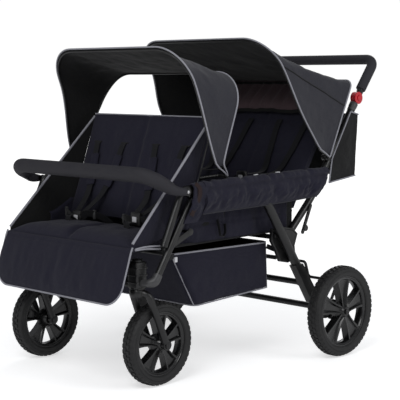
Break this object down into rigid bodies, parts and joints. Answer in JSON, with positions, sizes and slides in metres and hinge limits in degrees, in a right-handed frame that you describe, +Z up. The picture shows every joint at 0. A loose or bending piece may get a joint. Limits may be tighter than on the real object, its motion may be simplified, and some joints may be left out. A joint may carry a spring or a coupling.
{
  "type": "four-seat stroller",
  "caption": "Long folding stroller with a front and a rear row of seats, an arched canopy over each row, a hinged bumper bar, spoked pneumatic-look wheels and a tilting push handle.",
  "frame": {"origin": "centre of the bounding box's footprint, on the floor under the tyres", "axes": "+Z up; the stroller faces -Y and its length runs along Y; +X is its left side; it is mirror symmetric about X = 0"},
  "size_m": [0.919, 1.2464, 1.0442],
  "materials": {
    "frame_tube": "satin black",
    "wire": "satin black",
    "steel": "brushed",
    "plastic": "satin black",
    "red_plastic": "glossy red",
    "rim_plastic": "glossy black",
    "tyre": "matt rubber",
    "foam": "matt foam",
    "seat_fabric": "woven, near black",
    "canopy_fabric": "woven, anthracite"
  },
  "bodies": {
    "chassis": {"left_rear_leg": "frame_tube", "right_rear_leg": "frame_tube", "left_front_leg": "frame_tube", "right_front_leg": "frame_tube", "left_side_rail": "frame_tube", "right_side_rail": "frame_tube", "left_gusset": "plastic", "right_gusset": "plastic", "left_swivel_housing": "plastic", "right_swivel_housing": "plastic", "front_crossbar": "frame_tube", "front_seat_bar": "frame_tube", "rear_seat_bar": "frame_tube", "rear_axle_tube": "frame_tube", "rear_crossbar": "frame_tube", "left_rear_hub": "plastic", "right_rear_hub": "plastic", "front_seat_cushion": "seat_fabric", "calf_panel": "seat_fabric", "left_front_wing": "seat_fabric", "right_front_wing": "seat_fabric", "seat_tub": "seat_fabric", "left_side_wrap": "seat_fabric", "right_side_wrap": "seat_fabric", "rear_seat_cushion": "seat_fabric", "basket": "seat_fabric"},
    "left_swivel": {"left_fork": "plastic"},
    "right_swivel": {"right_fork": "plastic"},
    "left_front_wheel": {"left_front_rim": "rim_plastic", "left_front_tyre": "tyre"},
    "right_front_wheel": {"right_front_rim": "rim_plastic", "right_front_tyre": "tyre"},
    "left_rear_wheel": {"left_rear_rim": "rim_plastic", "left_rear_tyre": "tyre"},
    "right_rear_wheel": {"right_rear_rim": "rim_plastic", "right_rear_tyre": "tyre"},
    "push_frame": {"left_push_tube": "frame_tube", "right_push_tube": "frame_tube", "left_handle_hinge": "red_plastic", "right_handle_hinge": "red_plastic", "rear_pocket": "seat_fabric", "rear_canopy_bow": "wire"},
    "handle": {"handle_bar": "frame_tube", "handle_grip": "foam"},
    "left_handle_button": {"left_handle_button": "red_plastic"},
    "right_handle_button": {"right_handle_button": "red_plastic"},
    "rear_hoop": {"rear_hoop": "wire", "rear_canopy": "canopy_fabric"},
    "rear_backrest": {"rear_backrest": "seat_fabric"},
    "front_backrest": {"front_backrest": "seat_fabric", "front_backrest_frame": "frame_tube", "front_canopy_bow": "wire"},
    "front_hoop": {"front_hoop": "wire", "front_canopy": "canopy_fabric"},
    "bumper_bar": {"bumper_bar": "foam"},
    "left_lock_lever": {"left_lock_lever": "plastic"},
    "right_lock_lever": {"right_lock_lever": "plastic"},
    "brake_bar": {"brake_bar": "frame_tube"},
    "left_brake_pin": {"left_brake_pin": "steel"},
    "right_brake_pin": {"right_brake_pin": "steel"}
  },
  "joints": [
    {"name": "frame_fold", "type": "hinge", "parent": "chassis", "child": "push_frame", "pos_m": [0, 0.1144, 0.378], "axis": [1, 0, 0], "range_deg": [0, 90]},
    {"name": "handle_tilt", "type": "hinge", "parent": "push_frame", "child": "handle", "pos_m": [0, 0.5014, 0.8465], "axis": [1, 0, 0], "range_deg": [-60, 0]},
    {"name": "left_button_press", "type": "slide", "parent": "handle", "child": "left_handle_button", "axis": [-1, 0, 0], "range_m": [0, 0.004], "stiffness_N_per_m": 300},
    {"name": "right_button_press", "type": "slide", "parent": "handle", "child": "right_handle_button", "axis": [1, 0, 0], "range_m": [0, 0.004], "stiffness_N_per_m": 300},
    {"name": "rear_canopy_fold", "type": "hinge", "parent": "push_frame", "child": "rear_hoop", "pos_m": [0, 0.3244, 0.648], "axis": [1, 0, 0], "range_deg": [-67.5, 0], "deforming": ["rear_canopy"]},
    {"name": "rear_backrest_fold", "type": "hinge", "parent": "chassis", "child": "rear_backrest", "pos_m": [0, 0.1794, 0.475], "axis": [1, 0, 0], "range_deg": [0, 94.5]},
    {"name": "front_backrest_fold", "type": "hinge", "parent": "chassis", "child": "front_backrest", "pos_m": [0, -0.3356, 0.455], "axis": [1, 0, 0], "range_deg": [0, 67.5], "deforming": ["left_front_wing", "right_front_wing"]},
    {"name": "front_canopy_close", "type": "hinge", "parent": "front_backrest", "child": "front_hoop", "pos_m": [0, -0.1906, 0.615], "axis": [-1, 0, 0], "range_deg": [0, 36], "deforming": ["front_canopy"]},
    {"name": "bumper_bar_fold", "type": "hinge", "parent": "chassis", "child": "bumper_bar", "pos_m": [0, -0.3896, 0.582], "axis": [1, 0, 0], "range_deg": [0, 27]},
    {"name": "left_lock_release", "type": "hinge", "parent": "push_frame", "child": "left_lock_lever", "pos_m": [0.301, 0.2334, 0.4905], "axis": [1, 0, 0], "range_deg": [0, 20], "stiffness_Nm_per_rad": 0.5},
    {"name": "right_lock_release", "type": "hinge", "parent": "push_frame", "child": "right_lock_lever", "pos_m": [-0.301, 0.2334, 0.4905], "axis": [1, 0, 0], "range_deg": [0, 20], "stiffness_Nm_per_rad": 0.5},
    {"name": "brake_press", "type": "hinge", "parent": "chassis", "child": "brake_bar", "pos_m": [0, 0.2394, 0.15], "axis": [-1, 0, 0], "range_deg": [0, 20]},
    {"name": "left_brake_pin_slide", "type": "slide", "parent": "chassis", "child": "left_brake_pin", "axis": [1, 0, 0], "range_m": [0, 0.007]},
    {"name": "right_brake_pin_slide", "type": "slide", "parent": "chassis", "child": "right_brake_pin", "axis": [-1, 0, 0], "range_m": [0, 0.007]},
    {"name": "left_swivel_turn", "type": "hinge", "parent": "chassis", "child": "left_swivel", "pos_m": [0.2683, -0.5236, 0.3], "axis": [0, 0, 1], "continuous": true},
    {"name": "right_swivel_turn", "type": "hinge", "parent": "chassis", "child": "right_swivel", "pos_m": [-0.2683, -0.5236, 0.3], "axis": [0, 0, 1], "continuous": true},
    {"name": "left_front_wheel_spin", "type": "hinge", "parent": "left_swivel", "child": "left_front_wheel", "pos_m": [0.2683, -0.4436, 0.127], "axis": [1, 0, 0], "continuous": true},
    {"name": "right_front_wheel_spin", "type": "hinge", "parent": "right_swivel", "child": "right_front_wheel", "pos_m": [-0.2683, -0.4436, 0.127], "axis": [1, 0, 0], "continuous": true},
    {"name": "left_rear_wheel_spin", "type": "hinge", "parent": "chassis", "child": "left_rear_wheel", "pos_m": [0.4265, 0.2394, 0.15], "axis": [1, 0, 0], "continuous": true},
    {"name": "right_rear_wheel_spin", "type": "hinge", "parent": "chassis", "child": "right_rear_wheel", "pos_m": [-0.4265, 0.2394, 0.15], "axis": [1, 0, 0], "continuous": true}
  ],
  "couplings": [
    {"joint": "rear_canopy_fold", "follows": "frame_fold", "ratio": -0.75},
    {"joint": "rear_backrest_fold", "follows": "frame_fold", "ratio": 1.05},
    {"joint": "front_backrest_fold", "follows": "frame_fold", "ratio": 0.75},
    {"joint": "bumper_bar_fold", "follows": "frame_fold", "ratio": 0.3},
    {"joint": "left_brake_pin_slide", "follows": "brake_press", "m_per_rad": 0.017},
    {"joint": "right_brake_pin_slide", "follows": "brake_press", "m_per_rad": 0.017}
  ]
}
